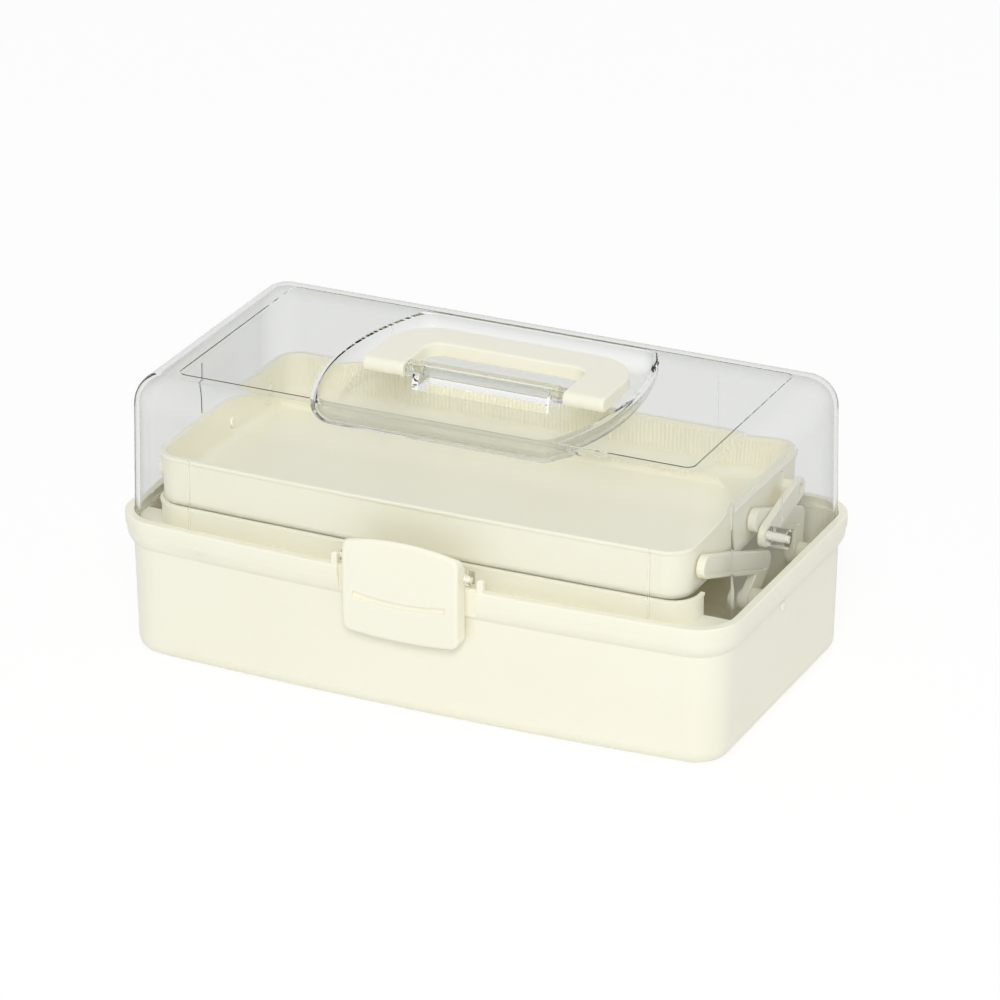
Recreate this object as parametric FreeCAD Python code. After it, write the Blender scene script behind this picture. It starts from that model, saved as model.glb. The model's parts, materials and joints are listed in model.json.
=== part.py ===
import FreeCAD, Part
import math
import os

V = FreeCAD.Vector

# Driving sizes in millimetres: +X right, +Y to the rear, +Z up, Y = 0 at the middle of the rim.
box_width = 330.0
box_depth = 173.0
box_height = 147.6
base_height = 75.3
front_bow = 6.0
rim_corner = 23.5

# Tub: how far its wall stands inside the rim band, and the band's own heights.
tub_wall = 2.4
tub_floor = 2.6
foot_inset = 5.6
neck_inset = 4.2
band_low = base_height - 16.8
band_step = base_height - 5.8
step_depth = 0.7
flare_round = 11.0
foot_round = 8.0
ledge_depth = 4.3
lip_rise = 7.7
lip_thick = 1.6
lip_clear = 0.6
lip_bead = 0.6
lip_bead_height = 1.4
lip_return = 15.0
shelf_thick = 2.4
post_width = 3.2
post_rise = 6.0

# Lid.
lid_gap = 0.4
lid_inset = 4.8
lid_wall = 2.5
lid_draft = 1.3
shoulder = 16.0
line_width = 0.8
line_depth = 0.5
rib_width = 1.0
rib_depth = 0.7
rib_front_x = 123.0
rib_rear_x = 90.0
rib_side_y = -2.0
panel_side = 21.2
panel_end = 16.0
recess_depth = 12.0
recess_half = 76.5
recess_neck = 61.0
recess_round = 10.0
recess_floor_round = 8.0

# Handle, hump and their pivot.
handle_half = 65.0
handle_gap_half = 43.0
handle_front = -6.0
handle_inner = 27.0
handle_rear = 46.0
handle_thick = 7.7
handle_sink = 0.3
handle_corner = 25.0
handle_inner_corner = 8.0
handle_edge = 1.3
handle_y = 0.0
handle_z = box_height - 4.5
hump_half = 37.0
hump_width = 18.0
pin_radius = 2.0

# Tray.
tray_half = box_width / 2 - 23.0
tray_shift = -3.5
tray_front = box_depth / 2 - 11.5
tray_bow = 2.2
tray_rear = box_depth / 2 - 16.5
tray_top = base_height + 32.7
tray_height = 24.6
tray_taper = 0.8
tray_wall = 2.0
tray_corner = 12.0
tray_bead = 1.0
tray_bead_height = 2.2
tray_floor_round = 5.5
tray_edge_round = 2.0
flute_pitch = 2.2
flute_depth = 0.5

# Linkage in the side plane: pivots as (y, z).
arm_inner = tray_half + 0.5
arm_thick = 4.0
arm_width = 11.6
arm_slope = 0.373
front_pivot = (19.0 - tray_front, tray_top - 13.7)
pivot_spacing = box_depth / 2 - 26.5
arm_run = pivot_spacing - 9.0
front_elbow_run = arm_run + 19.0
rear_elbow_run = arm_run + 2.0
arm_drop = 38.3
lid_pivot = (5.5, base_height + 11.2)
link_pivot = (lid_pivot[0] + pivot_spacing - 19.2, lid_pivot[1] + 8.6)
link_play = 1.35
link_thick = 3.4
plane_gap = 0.7
run_gap = 0.06
hold_gap = 0.02
boss_radius = 6.0
lug_radius = 4.0
stub_radius = 1.8
rivet_radius = 2.5
rivet_stand = 1.0
rivet_head = 4.2
tray_head = 3.0
head_gap = 0.3

# Hinge of the lid.
hinge_y = box_depth / 2 + 2.0
hinge_z = base_height + 1.7
knuckle_radius = 4.2
hinge_x = 95.0
lid_knuckle = 13.0
base_knuckle = 8.0
knuckle_gap = 0.5

# Latch.
latch_half = 31.0
latch_side_high = base_height + 14.7
latch_side_low = base_height - 29.3
latch_top_rise = 6.5
latch_bottom_drop = 2.0
latch_deep = 9.6
latch_wall = 2.6
latch_back = box_depth / 2 + front_bow - 1.8
latch_front = latch_back + latch_deep
latch_z = base_height + 5.4
latch_barrel = 2.6
latch_pin_radius = 1.5
latch_crown = 260.0
ear_thick = 3.0
ear_gap = 0.6
notch_half = latch_half + 6.0
notch_low = band_low - 1.0
notch_round = 5.0
catch_z = notch_low + 5.0


def outline(half_width, front, rear, radius, bow, inset, z):
    """Plan outline at height z: straight sides and rear, bowed front, round corners, moved inwards by inset.

    The arcs keep their centres as the inset grows, so walls drawn between two outlines are planes and cones.
    """
    corner_x = half_width - radius
    if bow > 0:
        big = (half_width ** 2 + bow ** 2) / (2 * bow)
        big_y = big - front - bow
        corner_y = big_y - math.sqrt((big - radius) ** 2 - corner_x ** 2)
        away = V(corner_x, corner_y - big_y, 0).normalize()
    else:
        corner_y = radius - front
        away = V(0, -1, 0)
    half = (away + V(1, 0, 0)).normalize()
    turn = radius - inset
    side = half_width - inset
    end = rear - inset
    rear_y = rear - radius
    diagonal = turn * math.sqrt(0.5)
    centre = V(corner_x, corner_y, z)
    right = V(side, corner_y, z)
    rear_right = V(side, rear_y, z)
    rear_corner = V(corner_x, end, z)
    rear_middle = V(corner_x + diagonal, rear_y + diagonal, z)
    front_middle = centre + half * turn
    touch = centre + away * turn

    def flip(point):
        return V(-point.x, point.y, point.z)

    def arc(start, middle, end_point):
        return Part.Arc(start, middle, end_point).toShape()

    if bow > 0:
        front_edge = arc(flip(touch), V(0, inset - front - bow, z), touch)
    else:
        front_edge = Part.makeLine(flip(touch), touch)
    edges = [
        Part.makeLine(right, rear_right),
        arc(rear_right, rear_middle, rear_corner),
        Part.makeLine(rear_corner, flip(rear_corner)),
        arc(flip(rear_corner), flip(rear_middle), flip(rear_right)),
        Part.makeLine(flip(rear_right), flip(right)),
        arc(flip(right), flip(front_middle), flip(touch)),
        front_edge,
        arc(touch, front_middle, right),
    ]
    return Part.Wire(edges)


def rim_outline(inset, z):
    """Outline of the box at height z, stated by how far it stands inside the rim band."""
    half = box_depth / 2
    return outline(box_width / 2, half, half, rim_corner, front_bow, inset, z)


def loft(low, high):
    return Part.makeLoft([low, high], True, True)


def prism(wire, height):
    return Part.Face(wire).extrude(V(0, 0, height))


def edges_at(shape, z):
    """Edges that lie wholly at height z."""
    found = []
    for edge in shape.Edges:
        box = edge.BoundBox
        if abs(box.ZMin - z) < 1e-4 and abs(box.ZMax - z) < 1e-4:
            found.append(edge)
    return found


def rod(radius, x0, x1, spot):
    """Round bar along X between x0 and x1, through the point (y, z)."""
    return Part.makeCylinder(radius, x1 - x0, V(x0, spot[0], spot[1]), V(1, 0, 0))


def block(low, high):
    size = [b - a for a, b in zip(low, high)]
    return Part.makeBox(size[0], size[1], size[2], V(low[0], low[1], low[2]))


def slab(points, x0, x1):
    """Polygon of (y, z) points drawn out along X."""
    ring = [V(x0, y, z) for y, z in points]
    face = Part.Face(Part.makePolygon(ring + ring[:1]))
    return face.extrude(V(x1 - x0, 0, 0))


def strip(points, width, x0, x1):
    """Flat bar with round ends along a line of (y, z) points."""
    radius = width / 2
    whole = None
    for start, end in zip(points, points[1:]):
        a = V(x0, start[0], start[1])
        b = V(x0, end[0], end[1])
        along = (b - a).normalize()
        across = V(0, -along.z, along.y) * radius
        edges = [
            Part.makeLine(a + across, b + across),
            Part.Arc(b + across, b + along * radius, b - across).toShape(),
            Part.makeLine(b - across, a - across),
            Part.Arc(a - across, a - along * radius, a + across).toShape(),
        ]
        piece = Part.Face(Part.Wire(edges)).extrude(V(x1 - x0, 0, 0))
        whole = piece if whole is None else whole.fuse(piece)
    return whole.removeSplitter()


def mirrored(shape):
    return shape.mirror(V(0, 0, 0), V(1, 0, 0))


def both(shape):
    return [shape, mirrored(shape)]


def linkage_sides(make):
    """Right and left copies of a piece that reaches from the off-centre linkage to the box."""
    return [make(tray_shift), mirrored(make(-tray_shift))]


arm_outer = arm_inner + arm_thick
link_inner = arm_outer + plane_gap
link_outer = link_inner + link_thick
rear_pivot = (front_pivot[0] + pivot_spacing, front_pivot[1])
front_base = (front_pivot[0] + arm_run, front_pivot[1] - arm_drop)
rear_base = (rear_pivot[0] + arm_run, rear_pivot[1] - arm_drop)
lip_low = base_height - ledge_depth + lid_gap / 2
lip_top = base_height + lip_rise
lid_half = box_width / 2 - lid_inset
lid_end = box_depth / 2 - lid_inset
boss_end = arm_outer + plane_gap / 2
wall_middle = box_width / 2 - neck_inset - tub_wall / 2


def lid_outline(inset, z):
    """Outline of the lid's outer face at height z, moved inwards by inset."""
    lean = lid_draft * (z - lip_low) / (box_height - lip_low)
    return rim_outline(lid_inset + lean + inset, z)


def hinge_spans():
    """X ranges of one hinge: the lid's knuckle, then the base's two."""
    lid_low = hinge_x - lid_knuckle / 2
    lid_high = hinge_x + lid_knuckle / 2
    outer_low = lid_low - knuckle_gap - base_knuckle
    outer_high = lid_high + knuckle_gap + base_knuckle
    return (lid_low, lid_high), (outer_low, lid_low - knuckle_gap), (lid_high + knuckle_gap, outer_high)


hinge_spot = (hinge_y, hinge_z)
latch_wall_y = lid_end + front_bow - lid_draft * (latch_z - lip_low) / (box_height - lip_low)
latch_spot = (-(latch_wall_y + latch_barrel + 0.35), latch_z)


def base_tub():
    tub = loft(rim_outline(foot_inset, 0), rim_outline(neck_inset, band_low + 2))
    tub = tub.makeFillet(foot_round, edges_at(tub, 0))
    flare_low = band_low - 2.5
    flare = prism(rim_outline(step_depth, flare_low), band_step - flare_low)
    flare = flare.makeFillet(flare_round, edges_at(flare, flare_low))
    top_strip = prism(rim_outline(0, band_step), base_height - band_step)
    top_strip = top_strip.makeFillet(0.8, edges_at(top_strip, base_height))
    body = tub.fuse([flare, top_strip])

    ledge_z = base_height - ledge_depth
    ledge_inset = lid_inset + lid_wall - 0.4
    cavity = loft(rim_outline(foot_inset + tub_wall, tub_floor), rim_outline(ledge_inset, base_height))
    cavity = cavity.makeFillet(foot_round - tub_wall, edges_at(cavity, tub_floor))
    pocket = prism(rim_outline(lid_inset - lid_gap, ledge_z), ledge_depth + 1)
    body = body.cut([cavity, pocket])

    # Beaded lip on a shelf along the front, just below the tray's edge and round its front corners.
    shelf_z = ledge_z - shelf_thick
    bead_z = lip_top - lip_bead_height
    shelf = prism(rim_outline(ledge_inset - 1, shelf_z), shelf_thick)
    lip = prism(tray_outline(-lip_clear - lip_thick, shelf_z), lip_top - shelf_z)
    bead = prism(tray_outline(-lip_clear - lip_thick - lip_bead, bead_z), lip_bead_height)
    bore = prism(tray_outline(-lip_clear, shelf_z), lip_top - shelf_z)
    for shape in (lip, bead, bore):
        shape.translate(V(tray_shift / 2, 0, 0))
    behind = block((-box_width, lip_return - tray_front, shelf_z), (box_width, box_depth, lip_top))
    body = body.fuse(shelf.fuse([lip, bead]).cut([bore, behind]))

    # Notch in the band behind the latch, with a bead that the latch's nose sits below.
    notch = block((-notch_half, -latch_front, notch_low), (notch_half, -latch_back + 0.9, base_height + 1))
    low_edges = []
    for edge in notch.Edges:
        box = edge.BoundBox
        if box.YLength > 1 and abs(box.ZMax - notch_low) < 1e-4:
            low_edges.append(edge)
    notch = notch.makeFillet(notch_round, low_edges)
    bead = rod(1.2, -latch_half + 9, latch_half - 9, (-latch_back + 0.9, catch_z))
    bead = bead.common(block((-latch_half, -latch_front, 0), (latch_half, -latch_back + 1.4, base_height)))
    body = body.cut(notch).fuse(bead)
    post_y = box_depth / 2 + front_bow - lid_inset + 0.9
    post_x = notch_half + 0.4
    post_top = base_height + post_rise
    post = block((post_x, -post_y - 2.6, band_step), (post_x + post_width, -post_y, post_top))
    post = post.makeFillet(1.2, edges_at(post, post_top))
    body = body.fuse(both(post))

    # Pivot bosses for the arms and knuckles for the lid.
    extras = []
    for spot in (front_base, rear_base):
        extras += linkage_sides(lambda shift: rod(boss_radius, boss_end + shift, wall_middle, spot))
    spans = hinge_spans()
    for low, high in spans[1:]:
        web = block((low, box_depth / 2 - lid_inset + 1.2, band_step), (high, hinge_y, hinge_z))
        back = slab([
            (hinge_y, hinge_z),
            (hinge_y + knuckle_radius, hinge_z),
            (box_depth / 2 - 2, band_step - 4),
            (box_depth / 2 - 2, hinge_z),
        ], low, high)
        knuckle = rod(knuckle_radius, low, high, hinge_spot).fuse([web, back])
        extras += both(knuckle)
    body = body.fuse(extras)
    holes = []
    for spot, end in ((front_base, box_width / 2 + 1), (rear_base, wall_middle)):
        holes += linkage_sides(lambda shift: rod(rivet_radius + hold_gap, boss_end + shift - 1, end, spot))
    hole_low, hole_high = spans[1][0], spans[2][1]
    holes += both(rod(pin_radius + hold_gap, hole_low + 1.5, hole_high + 1, hinge_spot))
    lid_low, lid_high = spans[0]
    room = rod(knuckle_radius + knuckle_gap, lid_low - knuckle_gap, lid_high + knuckle_gap, hinge_spot)
    holes += both(room)
    return body.cut(holes).removeSplitter()


def recess_solid(grow, depth):
    """Barrel-shaped block for the handle recess, grown sideways and sunk below the lid's flat top."""
    front = lid_end - lid_draft - panel_end - 0.6 + grow
    rear = lid_end - lid_draft - panel_end - 1.4 + grow
    neck = recess_neck + grow
    z = box_height - depth
    middle_y = (rear - front) / 2
    corners = [V(neck, -front, z), V(neck, rear, z), V(-neck, rear, z), V(-neck, -front, z)]
    edges = [
        Part.Arc(corners[0], V(recess_half + grow, middle_y, z), corners[1]).toShape(),
        Part.makeLine(corners[1], corners[2]),
        Part.Arc(corners[2], V(-recess_half - grow, middle_y, z), corners[3]).toShape(),
        Part.makeLine(corners[3], corners[0]),
    ]
    solid = prism(Part.Wire(edges), depth)
    upright = [edge for edge in solid.Edges if edge.BoundBox.ZLength > depth / 2]
    solid = solid.makeFillet(recess_round + grow, upright)
    return solid.makeFillet(recess_floor_round + grow, edges_at(solid, z))


def hump_solid(shrink, low):
    """Round-topped bar along X between the handle's legs."""
    half = hump_half - shrink
    radius = hump_width / 2 - shrink
    top = box_height - 0.6 - shrink
    spot = (handle_y + 1.0, top - radius)
    stem = block((-half, spot[0] - radius, low), (half, spot[0] + radius, spot[1]))
    crest = rod(radius, -half, half, spot)
    return stem.fuse(crest.common(block((-half, spot[0] - radius, low), (half, spot[0] + radius, top))))


def lid_shell():
    outer = loft(lid_outline(0, lip_low), lid_outline(0, box_height))
    outer = outer.makeFillet(shoulder, edges_at(outer, box_height))
    roof = box_height - lid_wall
    inner = loft(lid_outline(lid_wall, lip_low - 1), lid_outline(lid_wall, roof))
    inner = inner.makeFillet(shoulder - lid_wall, edges_at(inner, roof))
    body = outer.cut(inner)

    # Recess for the handle, with the hollow hump in it.
    pan_floor = box_height - recess_depth - lid_wall
    pan = recess_solid(lid_wall, recess_depth + lid_wall)
    pan = pan.common(outer)
    body = body.fuse(pan).cut(recess_solid(0, recess_depth))
    body = body.fuse(hump_solid(0, pan_floor)).cut(hump_solid(lid_wall, pan_floor - 1))
    pivot = (handle_y, handle_z)
    pivot_boss = rod(4.2, hump_half - lid_wall, handle_gap_half - ear_gap, pivot)
    body = body.fuse(both(pivot_boss))

    # Fine line around the flat top.
    side = lid_half - lid_draft - panel_side
    end = lid_end - lid_draft - panel_end
    groove_z = box_height - line_depth
    ring = prism(outline(side, end, end - 1.4, 5.0, 0, 0, groove_z), 1)
    ring = ring.cut(prism(outline(side, end, end - 1.4, 5.0, 0, line_width, groove_z), 1))
    body = body.cut(ring)

    # Slim ribs that stiffen the walls from the inside.
    core = loft(lid_outline(lid_wall + rib_depth, lip_low), lid_outline(lid_wall + rib_depth, roof))
    skin = inner.cut(core)
    half = rib_width / 2
    reach = box_width / 2
    ribs = []
    for x in (-rib_front_x, rib_front_x):
        ribs.append(block((x - half, -reach, lip_low + 2), (x + half, 0, lip_low + 39)))
    for x in (-rib_rear_x, rib_rear_x):
        ribs.append(block((x - half, 0, lip_low + 32), (x + half, reach, roof - shoulder + lid_wall)))
    ribs.append(block((-reach, rib_side_y - half, lip_low + 28), (reach, rib_side_y + half, lip_low + 54)))
    for rib in ribs:
        body = body.fuse(skin.common(rib))

    # Bosses for the lid links, ears for the latch, knuckles for the hinge.
    boss_x = link_outer + plane_gap
    extras = linkage_sides(lambda shift: rod(5.0, boss_x + shift, lid_half - lid_wall / 2, lid_pivot))
    ear_low = latch_half + ear_gap
    ear_high = ear_low + ear_thick
    ear_width = 2 * latch_barrel + 1.4
    ear_root = (lid_wall - 0.1 - ear_width / 2 - latch_wall_y, latch_z)
    extras += both(strip([ear_root, latch_spot], ear_width, ear_low, ear_high))
    low, high = hinge_spans()[0]
    arm_low = base_height + 1.0
    hinge_arm = block((low, lid_end - lid_wall, arm_low), (high, hinge_y, hinge_z + knuckle_radius))
    hinge_arm = hinge_arm.cut(block((low, 0, arm_low), (high, lid_end - lid_wall - 0.1, box_height)))
    extras += both(rod(knuckle_radius, low, high, hinge_spot).fuse(hinge_arm))
    body = body.fuse(extras)
    bore = pin_radius + hold_gap
    holes = linkage_sides(lambda shift: rod(bore, link_outer + shift, lid_half - 1.6, lid_pivot))
    holes += both(rod(pin_radius + hold_gap, hump_half - 2 * lid_wall, handle_gap_half, pivot))
    holes += [rod(latch_pin_radius + hold_gap, -ear_high - 1, ear_high + 1, latch_spot)]
    holes += both(rod(pin_radius + run_gap, low - 1, high + 1, hinge_spot))
    return body.cut(holes).removeSplitter()


def tray_outline(inset, z):
    return outline(tray_half, tray_front, tray_rear, tray_corner, tray_bow, inset, z)


def tray_flutes(floor):
    """Fine upright ribs on the tray's rear inner face, one saw-tooth strip that leans with the wall."""
    low = floor + tray_floor_round + 1.0
    high = tray_top - tray_bead_height
    half = tray_half - tray_corner - tray_taper
    count = int(2 * half / flute_pitch)
    start = -count * flute_pitch / 2
    lean = tray_taper / tray_height

    def face_y(z):
        return tray_rear - tray_wall - lean * (tray_top - z)

    y = face_y(low)
    points = [V(start, y + tray_wall / 2, low)]
    for index in range(count):
        x = start + index * flute_pitch
        points.append(V(x, y + 0.1, low))
        points.append(V(x + flute_pitch / 2, y - flute_depth, low))
    points.append(V(-start, y + 0.1, low))
    points.append(V(-start, y + tray_wall / 2, low))
    face = Part.Face(Part.makePolygon(points + points[:1]))
    return face.extrude(V(0, face_y(high) - y, high - low))


def upper_tray():
    low = tray_top - tray_height
    floor = low + tray_wall
    outer = loft(tray_outline(tray_taper, low), tray_outline(0, tray_top))
    outer = outer.makeFillet(tray_edge_round, edges_at(outer, low))
    inner = loft(tray_outline(tray_taper + tray_wall, floor), tray_outline(tray_wall, tray_top))
    inner = inner.makeFillet(tray_floor_round, edges_at(inner, floor))
    bead_z = tray_top - tray_bead_height
    bead = prism(tray_outline(-tray_bead, bead_z), tray_bead_height)
    bead = bead.makeFillet(0.7, edges_at(bead, tray_top) + edges_at(bead, bead_z))
    body = outer.fuse(bead).cut(inner).fuse(tray_flutes(floor))
    lugs = both(rod(lug_radius, tray_half - 3.0, boss_end, link_pivot).cut(inner))
    body = body.fuse(lugs)
    holes = []
    ends = [(front_pivot, arm_inner + 1), (rear_pivot, arm_inner + 1), (link_pivot, link_inner)]
    for spot, end in ends:
        seat = head_seat(spot)
        holes += both(rod(tray_head + head_gap, seat - 5, seat, spot))
        holes += both(rod(stub_radius + hold_gap, seat - 1, end, spot))
    return body.cut(holes).removeSplitter()


def outer_edges(bar, x):
    """Edges of a flat bar that lie in its outer face at x."""
    found = []
    for edge in bar.Edges:
        box = edge.BoundBox
        if abs(box.XMin - x) < 1e-4 and box.XLength < 1e-4:
            found.append(edge)
    return found


def arm(top, bottom, run):
    """Cranked right-hand arm: long bar from the tray's pivot, short leg down to the base's pivot."""
    elbow = (top[0] + run, top[1] - arm_slope * run)
    slope = math.atan(arm_slope)
    bar = strip([top, elbow, bottom], arm_width, arm_inner, arm_outer)
    bar = bar.makeFillet(0.6, outer_edges(bar, arm_outer))
    drop = arm_width / 2 - 2.6
    line = []
    for spot in (top, elbow):
        line.append((spot[0] - drop * math.sin(slope), spot[1] - drop * math.cos(slope)))
    bar = bar.cut(strip(line, 1.2, arm_outer - 0.7, arm_outer + 1))
    blind = rod(stub_radius + run_gap, arm_inner - 1, arm_outer - 1.2, top)
    through = rod(rivet_radius + run_gap, arm_inner - 1, arm_outer + 1, bottom)
    return bar.cut([blind, through])


def lid_link():
    bar = strip([lid_pivot, link_pivot], arm_width, link_inner, link_outer)
    bar = bar.makeFillet(0.6, outer_edges(bar, link_outer))
    pivot = rod(pin_radius + run_gap, link_inner + 1, link_outer + 1, lid_pivot)
    open_hole = rod(stub_radius + link_play, link_inner - 1, link_outer + 1, link_pivot)
    return bar.cut([pivot, open_hole])


def head_seat(spot):
    """Half width of the flat seat for a pin head on the tray's leaning inner face."""
    lean = tray_taper * (tray_top - spot[1] - tray_head) / tray_height
    return tray_half - tray_wall - lean + head_gap


def tray_pin(spot, end):
    """Right-hand pin with a head on the tray's inner face."""
    seat = head_seat(spot)
    head = rod(tray_head, seat - 1.2, seat, spot)
    rim = [edge for edge in head.Edges if abs(edge.BoundBox.XMax - seat + 1.2) < 1e-4]
    return head.makeFillet(0.6, rim).fuse(rod(stub_radius, seat - 0.4, end, spot)).removeSplitter()


def base_pin(spot, end, shift):
    """Right-hand pivot pin: head inside the arm, round end in the tub's wall."""
    inner = arm_inner + shift
    shaft = rod(rivet_radius, inner - 0.6, end, spot)
    tip = [edge for edge in shaft.Edges if abs(edge.BoundBox.XMin - end) < 1e-4]
    shaft = shaft.makeFillet(0.6, tip)
    return shaft.fuse(rod(rivet_head, inner - 1.9, inner - 0.4, spot)).removeSplitter()


def handle():
    z = box_height - handle_sink - handle_thick
    round_foot = handle_thick / 2
    foot_y = handle_front + round_foot
    plan = prism(outline(handle_half, 2 * handle_corner, handle_rear, handle_corner, 0, 0, z), handle_thick)
    ahead = block((-handle_half, -box_depth, z - 1), (handle_half, foot_y, z + handle_thick + 1))
    gap_plan = outline(handle_gap_half, 40, handle_inner, handle_inner_corner, 0, 0, z - 1)
    gap = prism(gap_plan, handle_thick + 2)
    body = plan.cut([ahead, gap])
    body = body.makeFillet(handle_edge, edges_at(body, z) + edges_at(body, z + handle_thick))
    foot = rod(round_foot, handle_gap_half, handle_half, (foot_y, z + round_foot))
    foot = foot.makeFillet(1.0, [edge for edge in foot.Edges if edge.BoundBox.XLength < 1e-4])
    neck = block((handle_gap_half + 1, foot_y, z + 1), (handle_half - 1, foot_y + 6, z + handle_thick - 1))
    body = body.fuse(both(foot) + both(neck))
    holes = both(rod(pin_radius + run_gap, handle_gap_half - 1, handle_gap_half + 14, (handle_y, handle_z)))
    return body.cut(holes).removeSplitter()


def latch():
    def face_outline(shrink, y):
        half = latch_half - shrink
        high = latch_side_high - shrink
        low = latch_side_low + shrink
        edges = [
            Part.Arc(V(-half, y, high), V(0, y, high + latch_top_rise), V(half, y, high)).toShape(),
            Part.makeLine(V(half, y, high), V(half, y, low)),
            Part.Arc(V(half, y, low), V(0, y, low - latch_bottom_drop), V(-half, y, low)).toShape(),
            Part.makeLine(V(-half, y, low), V(-half, y, high)),
        ]
        return Part.Face(Part.Wire(edges))

    def crown(drop):
        """Barrel whose skin gives the gently domed front, sunk by drop."""
        middle = (latch_side_high + latch_side_low) / 2
        radius = latch_crown - drop
        return rod(radius, -latch_half - 1, latch_half + 1, (latch_crown - latch_front, middle))

    body = face_outline(0, -latch_front).extrude(V(0, latch_deep, 0))
    corners = [edge for edge in body.Edges if edge.BoundBox.YLength > latch_deep / 2]
    body = body.makeFillet(5.0, corners).common(crown(0))
    front = [edge for edge in body.Edges if edge.BoundBox.YMax < -latch_back - latch_deep / 2]
    body = body.makeFillet(2.0, front)
    hollow = face_outline(latch_wall, -latch_front).extrude(V(0, latch_deep + 1, 0))
    hollow = hollow.common(crown(latch_wall))
    body = body.cut(hollow)

    # Finger crease, hinge barrel with its webs, hook nose; the top's back edge is cut so that it can tip.
    smile_z = latch_side_low + 19.5
    big = 140.0
    crease = Part.makeTorus(big, 1.6, V(0, -latch_front + 0.3, smile_z + big - 1.5), V(0, 1, 0))
    reach = latch_half - 6
    crease = crease.common(block((-reach, -latch_front - 3, smile_z - 6), (reach, -latch_back, smile_z + 6)))
    body = body.cut(crease)
    barrel = rod(latch_barrel, -latch_half, latch_half, latch_spot)
    body = body.fuse(barrel)
    for x in (-latch_half + 1.3, -10.0, 10.0, latch_half - 1.3):
        web = slab([
            (latch_spot[0], latch_z - latch_barrel),
            (latch_spot[0], latch_z + latch_barrel),
            (-latch_front + latch_wall, latch_z + 5),
            (-latch_front + latch_wall, latch_z - 8),
        ], x - 1.1, x + 1.1)
        body = body.fuse(web)
    nose_tip = -latch_back - 0.75
    nose = slab([
        (nose_tip, catch_z - 2.6),
        (nose_tip, catch_z - 4.2),
        (-latch_front + latch_wall, catch_z - 7),
        (-latch_front + latch_wall, catch_z - 1.4),
    ], -latch_half + 9, latch_half - 9)
    body = body.fuse(nose)
    relief = slab([
        (-latch_back - 0.2 + latch_barrel, latch_z + latch_barrel + 0.6),
        (-latch_front + latch_wall + 0.3, latch_side_high + 1),
        (-latch_front + latch_wall + 0.3, latch_side_high + 20),
        (-latch_back + 20, latch_side_high + 20),
        (-latch_back + 20, latch_z + latch_barrel + 0.6),
    ], -latch_half - 1, latch_half + 1)
    body = body.cut(relief)
    relief_top = latch_z - latch_barrel - 0.4
    low_relief = block((-latch_half - 1, -latch_back - 0.4, 0), (latch_half + 1, 0, relief_top))
    body = body.cut(low_relief)
    hole = rod(latch_pin_radius + run_gap, -latch_half - 1, latch_half + 1, latch_spot)
    return body.cut(hole).removeSplitter()


def hinge_pin():
    spans = hinge_spans()
    return rod(pin_radius, spans[1][0] + 1.8, spans[2][1], hinge_spot)


def handle_pin():
    spot = (handle_y, handle_z)
    return rod(pin_radius, hump_half - lid_wall - 0.6, handle_gap_half + 13, spot)


def latch_pin():
    end = latch_half + ear_gap + ear_thick
    return rod(latch_pin_radius, -end, end, latch_spot)


def lid_link_pin(shift):
    face = link_outer + shift
    collar = rod(3.0, face + 0.3, face + plane_gap - 0.1, lid_pivot)
    start = link_inner + shift + 1.3
    return rod(pin_radius, start, lid_half - 1.8, lid_pivot).fuse(collar).removeSplitter()


def build():
    """Every piece by its node name; left-hand pieces mirror the right-hand ones."""
    pieces = {
        "base_tub": base_tub(),
        "lid_shell": lid_shell(),
        "upper_tray": upper_tray(),
        "handle": handle(),
        "latch": latch(),
        "latch_pin": latch_pin(),
    }
    lean = (foot_inset - neck_inset) * (1 - front_base[1] / (band_low + 2))
    front_end = box_width / 2 - neck_inset - lean + rivet_stand
    rear_end = wall_middle - 0.3
    hung = {
        "front_arm": both(arm(front_pivot, front_base, front_elbow_run)),
        "rear_arm": both(arm(rear_pivot, rear_base, rear_elbow_run)),
        "lid_link": both(lid_link()),
        "front_tray_pin": both(tray_pin(front_pivot, arm_outer - 1.4)),
        "rear_tray_pin": both(tray_pin(rear_pivot, arm_outer - 1.4)),
        "link_tray_pin": both(tray_pin(link_pivot, link_outer - 0.8)),
    }
    fixed = {
        "front_base_pin": linkage_sides(lambda shift: base_pin(front_base, front_end, shift)),
        "rear_base_pin": linkage_sides(lambda shift: base_pin(rear_base, rear_end, shift)),
        "lid_link_pin": linkage_sides(lid_link_pin),
        "hinge_pin": both(hinge_pin()),
        "handle_pin": both(handle_pin()),
    }
    sideways = V(tray_shift, 0, 0)
    pieces["upper_tray"].translate(sideways)
    for right, left in hung.values():
        right.translate(sideways)
        left.translate(sideways)
    for name, (right, left) in {**hung, **fixed}.items():
        pieces[name + "_right"] = right
        pieces[name + "_left"] = left
    return pieces


os.makedirs("parts", exist_ok=True)
middle_y = (hinge_y + knuckle_radius - latch_front) / 2
for name, shape in build().items():
    if len(shape.Solids) != 1:
        raise ValueError(name + " has " + str(len(shape.Solids)) + " solids")
    solid = shape.Solids[0]
    solid.translate(V(0, -middle_y, 0))
    solid.exportStep("parts/" + name + ".step")
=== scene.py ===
# %% [markdown]
# # A clear-lidded art supply box
#
# The box has an ivory moulded tub, a tray that swings up on cranked arms, and a clear lid with a folding
# handle and a latch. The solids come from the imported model, in metres, and every piece here rides on one
# of its bodies, so the lid, tray, handle and latch still move.

# %% Load the frame
import json
import math

import bmesh
import bpy
import numpy as np
from mathutils import Matrix, Vector


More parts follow.
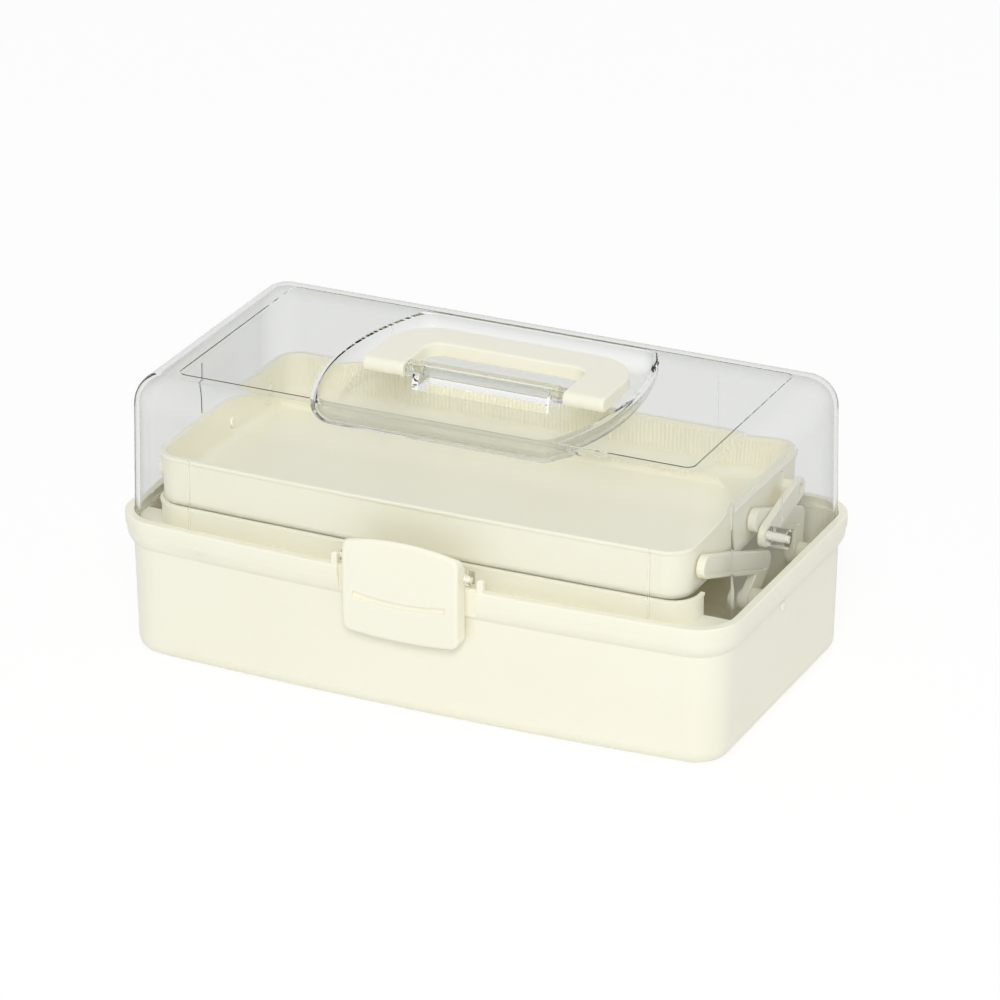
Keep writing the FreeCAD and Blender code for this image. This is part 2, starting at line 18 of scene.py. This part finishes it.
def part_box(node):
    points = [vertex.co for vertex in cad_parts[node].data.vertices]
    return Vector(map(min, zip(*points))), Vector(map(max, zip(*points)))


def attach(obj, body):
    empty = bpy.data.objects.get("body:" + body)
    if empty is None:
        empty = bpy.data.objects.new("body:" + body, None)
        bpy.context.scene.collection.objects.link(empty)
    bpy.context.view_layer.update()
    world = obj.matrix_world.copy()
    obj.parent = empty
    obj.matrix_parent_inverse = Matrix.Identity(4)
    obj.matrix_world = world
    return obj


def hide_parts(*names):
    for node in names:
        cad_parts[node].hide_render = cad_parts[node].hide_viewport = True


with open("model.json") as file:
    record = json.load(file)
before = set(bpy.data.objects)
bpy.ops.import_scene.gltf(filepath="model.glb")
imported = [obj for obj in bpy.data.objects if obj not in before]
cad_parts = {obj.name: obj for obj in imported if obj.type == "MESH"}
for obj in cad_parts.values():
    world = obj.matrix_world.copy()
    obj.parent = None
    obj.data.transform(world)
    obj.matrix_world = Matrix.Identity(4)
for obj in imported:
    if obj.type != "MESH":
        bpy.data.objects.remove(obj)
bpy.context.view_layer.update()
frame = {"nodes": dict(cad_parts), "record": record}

mm = 0.001

# %% [markdown]
# ## The camera
#
# The photograph was taken with a long lens from the front right, a little above the lid. Its direction is
# given by an azimuth and an elevation, and the picture's upright edges stay upright, so there is no roll.
# The box stands a little to the left of the middle of the frame and below it, so the camera aims a little to
# the right of the box's middle and above it. Angles are in degrees, film width and focal length in
# millimetres, as cameras give them, and everything else is in metres.

# %% Camera
def camera_axes(azimuth, elevation):
    """Right, up and backward unit vectors of a camera that looks down at the given angles in degrees."""
    a = math.radians(azimuth)
    e = math.radians(elevation)
    right = Vector((math.cos(a), math.sin(a), 0.0))
    back = Vector((math.sin(a) * math.cos(e), -math.cos(a) * math.cos(e), math.sin(e)))
    return right, back.cross(right), back


view_azimuth = 25.05
view_elevation = 23.93
aim_right = 6.5 * mm
aim_up = 73.0 * mm
view_distance = 2923.0 * mm
film_width = 36.0
focal_length = 210.5
far_limit = 30.0

right, up, back = camera_axes(view_azimuth, view_elevation)
rim_middle = Vector((0.0, 3.8 * mm, 0.0))
spot = rim_middle + right * aim_right + up * aim_up + back * view_distance
lens = bpy.data.cameras.new("photo_camera")
lens.sensor_width = film_width
lens.lens = focal_length
lens.clip_end = far_limit
camera = bpy.data.objects.new("photo_camera", lens)
bpy.context.scene.collection.objects.link(camera)
camera.matrix_world = Matrix.Translation(spot) @ Matrix((right, up, back)).transposed().to_4x4()
bpy.context.scene.camera = camera
bpy.context.scene.view_settings.view_transform = "Standard"
print("camera at", [round(c, 3) for c in spot])

# %% [markdown]
# ## Colours and nodes
#
# Colours are written as sRGB hex values, the way a paint chart gives them, and turned to the linear values
# that shaders use. One small function adds a node, sets its values and links its inputs. A Mix node has
# many sockets of the same name, one set for each kind of data, so those for colours are named here by number.

# %% Helpers for materials
mix_share, mix_first, mix_second, mix_result = 0, 6, 7, 2


def linear(code):
    """sRGB hex code to linear red, green and blue, with full alpha."""
    value = np.array([int(code[i:i + 2], 16) for i in (0, 2, 4)]) / 255.0
    bent = np.where(value <= 0.04045, value / 12.92, ((value + 0.055) / 1.055) ** 2.4)
    return (*[float(c) for c in bent], 1.0)


def add_node(tree, kind, values=None, links=None, **settings):
    """Adds a node, sets its attributes and input values, and links its inputs to other sockets."""
    node = tree.nodes.new(kind)
    for name, value in settings.items():
        setattr(node, name, value)
    for name, value in (values or {}).items():
        node.inputs[name].default_value = value
    for name, socket in (links or {}).items():
        tree.links.new(socket, node.inputs[name])
    return node


def new_material(name):
    """An empty node material and its output node."""
    material = bpy.data.materials.new(name)
    material.use_nodes = True
    material.node_tree.nodes.clear()
    return material, material.node_tree, material.node_tree.nodes.new("ShaderNodeOutputMaterial")


white = linear("FFFFFF")
print("white in linear values", white)

# %% [markdown]
# ## Ivory polypropylene
#
# The tub, tray, handle, latch and arms are injection moulded polypropylene: a warm white with a satin skin.
# The tool's spark-eroded surface leaves a fine pebble, and the melt cools unevenly, so colour and sheen drift
# over some tens of millimetres. Light goes a millimetre or so into the plastic and comes out again nearby,
# red a little farther than blue, which is why thin walls look lit from within. A flat colour would look like
# paint, so the drift, the pebble and the glow are all in the shader, on Object coordinates, and no picture
# is needed.

# %% Ivory material
drift_size = 60 * mm
sheen_swing = 0.06
pebble_size = 0.9 * mm
pebble_height = 0.05 * mm
pebble_strength = 0.02
polypropylene_bend = 1.49
glow_share = 0.4
glow_depth = 1.2 * mm
glow_reach = (1.0, 0.95, 0.85)


def ivory_polypropylene(name, colour, shade, rough):
    """Satin moulded plastic: slow drift of colour and sheen, and a fine pebble in the skin."""
    material, tree, out = new_material(name)
    place = add_node(tree, "ShaderNodeTexCoord")
    drift = add_node(tree, "ShaderNodeTexNoise", {"Scale": 1 / drift_size, "Detail": 2.0},
                     {"Vector": place.outputs["Object"]})
    tint = add_node(tree, "ShaderNodeMix", {mix_first: linear(colour), mix_second: linear(shade)},
                    {mix_share: drift.outputs["Fac"]}, data_type="RGBA")
    sheen = add_node(tree, "ShaderNodeMapRange",
                     {"To Min": rough - sheen_swing, "To Max": rough + sheen_swing},
                     {"Value": drift.outputs["Fac"]})
    pebble = add_node(tree, "ShaderNodeTexNoise", {"Scale": 1 / pebble_size, "Detail": 1.0},
                      {"Vector": place.outputs["Object"]})
    bump = add_node(tree, "ShaderNodeBump", {"Strength": pebble_strength, "Distance": pebble_height},
                    {"Height": pebble.outputs["Fac"]})
    plastic = add_node(tree, "ShaderNodeBsdfPrincipled",
                       {"IOR": polypropylene_bend, "Subsurface Weight": glow_share,
                        "Subsurface Radius": glow_reach, "Subsurface Scale": glow_depth},
                       {"Base Color": tint.outputs[mix_result], "Roughness": sheen.outputs["Result"],
                        "Normal": bump.outputs["Normal"]})
    tree.links.new(plastic.outputs["BSDF"], out.inputs["Surface"])
    return material


ivory = ivory_polypropylene("ivory_polypropylene", colour="FAF7E6", shade="F7F4E2", rough=0.36)
ivory_pin = ivory_polypropylene("ivory_polypropylene_pin", colour="FBF9EC", shade="F8F6E7", rough=0.24)
print("made", ivory.name, "and", ivory_pin.name)

# %% [markdown]
# ## Clear polystyrene
#
# The lid is a clear styrene shell about two and a half millimetres thick, with two clear handle pins. A solid
# shell with the real thickness bends light at its edges and shoulders, which draws the thin lines that show
# where the lid is. A polished shell bends light by about 1.59, but at that value every corner turns into a
# heavy black band, while the real lid's corners are softened by the moulding, so the bend here is lower.
# Moulded styrene is a little grey. Where the shell is seen edge-on, Layer Weight lays on a much deeper grey:
# partly the longer way of the light through the plastic, and mostly painted shade that draws the grey lines
# at the lid's edges and shoulders. The grey is laid on only where a ray goes in, so that light that runs
# along inside the wall still comes out bright at its rim. The melt's flow leaves a faint drift in the grey,
# over some tens of millimetres. Lamps have to reach the tray through the lid: a path tracer would lose that
# light, so rays on their way to a lamp, and rays that leave a matt surface, pass straight through.

# %% Clear material
flow_size = 45 * mm
edge_blend = 0.5
styrene_bend = 1.15


def clear_polystyrene(name, face, flow, edge_shade, bend):
    """Polished clear plastic, greyer edge-on by painted shade; light from lamps and matt surfaces goes
    through unbent.
    """
    material, tree, out = new_material(name)
    place = add_node(tree, "ShaderNodeTexCoord")
    drift = add_node(tree, "ShaderNodeTexNoise", {"Scale": 1 / flow_size, "Detail": 2.0},
                     {"Vector": place.outputs["Object"]})
    wall = add_node(tree, "ShaderNodeMix", {mix_first: linear(face), mix_second: linear(flow)},
                    {mix_share: drift.outputs["Fac"]}, data_type="RGBA")
    # Painted shade: the edge colour greys the wall where it is seen edge-on, drawing the lines at the lid's
    # edges.
    facing = add_node(tree, "ShaderNodeLayerWeight", {"Blend": edge_blend})
    painted_edge_grey = add_node(tree, "ShaderNodeMix", {mix_second: linear(edge_shade)},
                    {mix_share: facing.outputs["Facing"], mix_first: wall.outputs[mix_result]},
                    data_type="RGBA")
    side = add_node(tree, "ShaderNodeNewGeometry")
    going_in = add_node(tree, "ShaderNodeMix", {mix_second: white},
                        {mix_share: side.outputs["Backfacing"], mix_first: painted_edge_grey.outputs[mix_result]},
                        data_type="RGBA")
    plastic = add_node(tree, "ShaderNodeBsdfPrincipled",
                       {"IOR": bend, "Roughness": 0.0, "Transmission Weight": 1.0},
                       {"Base Color": going_in.outputs[mix_result]})
    open_way = add_node(tree, "ShaderNodeBsdfTransparent", {"Color": white})
    path = add_node(tree, "ShaderNodeLightPath")
    lit = add_node(tree, "ShaderNodeMath",
                   links={0: path.outputs["Is Shadow Ray"], 1: path.outputs["Is Diffuse Ray"]},
                   operation="MAXIMUM")
    mix = add_node(tree, "ShaderNodeMixShader",
                   links={0: lit.outputs[0], 1: plastic.outputs["BSDF"], 2: open_way.outputs["BSDF"]})
    tree.links.new(mix.outputs["Shader"], out.inputs["Surface"])
    return material


clear = clear_polystyrene("clear_polystyrene", face="FEFFFD", flow="FAFBF9", edge_shade="B0B2AE", bend=styrene_bend)
print("made", clear.name)

# %% [markdown]
# ## Which piece is made of what
#
# The record gives every solid a material slot: clear for the lid and the handle's two pins, ivory for the
# rest. The ivory pins that come in pairs, left and right, are a little paler and shinier than the mouldings.

# %% Give every solid its material
slots = {part["node"]: part["material_slot"] for part in frame["record"]["subparts"]}
for name, node in frame["nodes"].items():
    node.data.materials.clear()
    if slots[name] == "clear_plastic":
        node.data.materials.append(clear)
    elif "_pin_" in name:
        node.data.materials.append(ivory_pin)
    else:
        node.data.materials.append(ivory)
print("clear solids", [name for name, slot in slots.items() if slot == "clear_plastic"])

# %% [markdown]
# ## Copies of a solid that are shaped a little further
#
# A few edges of the real box differ from the solids by a millimetre or three. Such a piece could be drawn
# anew, but a copy of its solid already has the right bores, hooks and ribs. So the copy's loose triangles are
# welded into one skin, its points are read into one array and moved by a formula, and it is shown in place of
# the solid, on the same body. It keeps the solid's own normals, so flat faces look flat beside round edges.

# %% Helpers for shaped copies
weld_distance = 0.001 * mm


def welded_copy(node, name):
    """A new object with the node's mesh, its loose triangles welded into one skin."""
    mesh = bpy.data.meshes.new(name)
    skin = bmesh.new()
    skin.from_mesh(node.data)
    bmesh.ops.remove_doubles(skin, verts=skin.verts, dist=weld_distance)
    skin.to_mesh(mesh)
    skin.free()
    piece = bpy.data.objects.new(name, mesh)
    bpy.context.scene.collection.objects.link(piece)
    return piece


def points_of(mesh):
    """The mesh's points as rows of x, y and z."""
    points = np.empty(3 * len(mesh.vertices))
    mesh.vertices.foreach_get("co", points)
    return points.reshape(-1, 3)


def show_instead(piece, node, body, points):
    """Gives the copy its moved points and the solid's normals, and lets it stand for its node."""
    mesh = piece.data
    solid = frame["nodes"][node].data
    mesh.vertices.foreach_set("co", points.ravel())
    mesh.shade_smooth()
    shading = np.empty(3 * len(solid.loops))
    solid.corner_normals.foreach_get("vector", shading)
    mesh.normals_split_custom_set(shading.reshape(-1, 3))
    mesh.materials.clear()
    mesh.materials.append(ivory)
    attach(piece, body)
    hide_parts(node)
    low, high = points.min(axis=0) / mm, points.max(axis=0) / mm
    print(piece.name, len(points), "points from", low.round(2), "to", high.round(2), "mm")


# %% [markdown]
# ## The latch's top edge
#
# The latch is a moulded plate that turns on a pin in two ears of the lid. Its top edge is an arch, and on the
# real box that arch is flat: the corners stand about three millimetres higher than on the solid. Only the
# points near the top are lifted, most at the corners, so the barrel and the hook stay where they are.

# %% Latch
def lift_corners(points, half, low, high, lift):
    """Lifts points by lift times the square of x over half, eased in from height low to height high."""
    ease = np.clip((points[:, 2] - low) / (high - low), 0.0, 1.0)
    ease = ease ** 2 * (3.0 - 2.0 * ease)
    moved = points.copy()
    moved[:, 2] += lift * ease * (points[:, 0] / half) ** 2
    return moved


barrel_clear = 84.5 * mm
corner_height = 90.0 * mm
corner_lift = 3.0 * mm
latch_plate = welded_copy(frame["nodes"]["latch"], "latch_plate")
plate_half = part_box("latch")[1][0]
lifted = lift_corners(points_of(latch_plate.data), plate_half, barrel_clear, corner_height, corner_lift)
show_instead(latch_plate, "latch", "latch", lifted)

# %% [markdown]
# ## The tray's lower edge
#
# The tray's floor meets its walls in a tight edge, close above the tub's lip, with only a hairline of shadow
# between. The solid's edge is rounder, to swing clear. A round edge turns tight when its points move out
# along their normals, most where the normal dips by half a right angle, and less towards wall and floor.
# That also brings the edge down, to just under a millimetre below the solid's floor.

# %% Tray
def normals_of(mesh):
    """The unit normal at each point of the mesh."""
    normals = np.empty(3 * len(mesh.vertices))
    mesh.vertex_normals.foreach_get("vector", normals)
    return normals.reshape(-1, 3)


def tighten_lower_edge(points, normals, top, push):
    """Moves points below top along normals that dip, by push times the squared sine of twice the dip."""
    dip = np.clip(-normals[:, 2], 0.0, 1.0)
    share = (2.0 * dip * np.sqrt(1.0 - dip ** 2)) ** 2
    share = np.where(points[:, 2] < top, share, 0.0)
    return points + push * share[:, None] * normals


tray_moulding = welded_copy(frame["nodes"]["upper_tray"], "tray_moulding")
tray_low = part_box("upper_tray")[0][2]
edge_height = 5.6 * mm
edge_push = 1.6 * mm
tight = tighten_lower_edge(points_of(tray_moulding.data), normals_of(tray_moulding.data),
                           tray_low + edge_height, edge_push)
show_instead(tray_moulding, "upper_tray", "tray", tight)

# %% [markdown]
# ## Studio
#
# A white sweep and soft light: one broad lamp in front, to the right and above, as in a product photograph,
# which puts a soft shadow below and to the left of the latch, and an even white surround that fills the
# rest. The camera sees plain white; the floor keeps a faint shadow.

# %% World and floor
self_lit_share = 0.8
self_lit_level = 1.05
paper_colour = (0.9, 0.9, 0.9, 1.0)
fill_level = 0.66
floor_half = 6.0


def seen_by_eye(tree):
    """One for rays from the camera and for rays that a polished or clear surface sends on, else zero."""
    path = add_node(tree, "ShaderNodeLightPath")
    polished = add_node(tree, "ShaderNodeMath",
                        links={0: path.outputs["Is Glossy Ray"], 1: path.outputs["Is Transmission Ray"]},
                        operation="MAXIMUM")
    either = add_node(tree, "ShaderNodeMath",
                      links={0: path.outputs["Is Camera Ray"], 1: polished.outputs[0]},
                      operation="MAXIMUM")
    return either.outputs[0]


def studio_world(level):
    """White to the camera and in reflections, a dimmer white for light."""
    world = bpy.data.worlds.new("studio")
    bpy.context.scene.world = world
    world.use_nodes = True
    tree = world.node_tree
    tree.nodes.clear()
    seen = seen_by_eye(tree)
    strength = add_node(tree, "ShaderNodeMapRange", {"To Min": level, "To Max": 1.0}, {"Value": seen})
    sky = add_node(tree, "ShaderNodeBackground", {"Color": white},
                   {"Strength": strength.outputs["Result"]})
    out = add_node(tree, "ShaderNodeOutputWorld")
    tree.links.new(sky.outputs["Background"], out.inputs["Surface"])


def studio_floor(half):
    """A square floor that is mostly self-lit white to the camera, with some of the shadow left."""
    corners = np.array([(-1, -1, 0), (1, -1, 0), (1, 1, 0), (-1, 1, 0)]) * half
    mesh = bpy.data.meshes.new("studio_floor")
    mesh.from_pydata(corners.tolist(), [], [(0, 1, 2, 3)])
    floor = bpy.data.objects.new("studio_floor", mesh)
    bpy.context.scene.collection.objects.link(floor)
    material, tree, out = new_material("white_sweep")
    seen = seen_by_eye(tree)
    share = add_node(tree, "ShaderNodeMath", {1: self_lit_share}, {0: seen}, operation="MULTIPLY")
    paper = add_node(tree, "ShaderNodeBsdfDiffuse", {"Color": paper_colour})
    glow = add_node(tree, "ShaderNodeEmission", {"Color": white, "Strength": self_lit_level})
    mix = add_node(tree, "ShaderNodeMixShader",
                   links={0: share.outputs[0], 1: paper.outputs["BSDF"], 2: glow.outputs["Emission"]})
    tree.links.new(mix.outputs["Shader"], out.inputs["Surface"])
    mesh.materials.append(material)


studio_world(fill_level)
studio_floor(floor_half)
print("surround at", fill_level, "of white, floor", 2 * floor_half, "m wide")

# %% [markdown]
# ## The lamp and the light's bounces
#
# The lamp is a square panel aimed at the box. It is left out of reflections, so that its outline doesn't show
# on the lid. Clear walls pass a ray on many times, so more bounces than usual are allowed.

# %% Lamp
aim_height = 80 * mm
key_place = (0.78, -1.86, 1.39)
key_size = 0.6
key_power = 20.0


def soft_lamp(name, place, size, power):
    """A square area lamp that faces the box."""
    light = bpy.data.lights.new(name, "AREA")
    light.size = size
    light.energy = power
    lamp = bpy.data.objects.new(name, light)
    bpy.context.scene.collection.objects.link(lamp)
    lamp.location = place
    aim = Vector((0.0, 0.0, aim_height)) - lamp.location
    lamp.rotation_euler = aim.to_track_quat("-Z", "Y").to_euler()
    lamp.visible_glossy = False


soft_lamp("key_lamp", key_place, key_size, key_power)
paths = bpy.context.scene.cycles
paths.max_bounces = 24
paths.diffuse_bounces = 8
paths.glossy_bounces = 12
paths.transmission_bounces = 16
print("key lamp of", key_power, "W at", key_place)
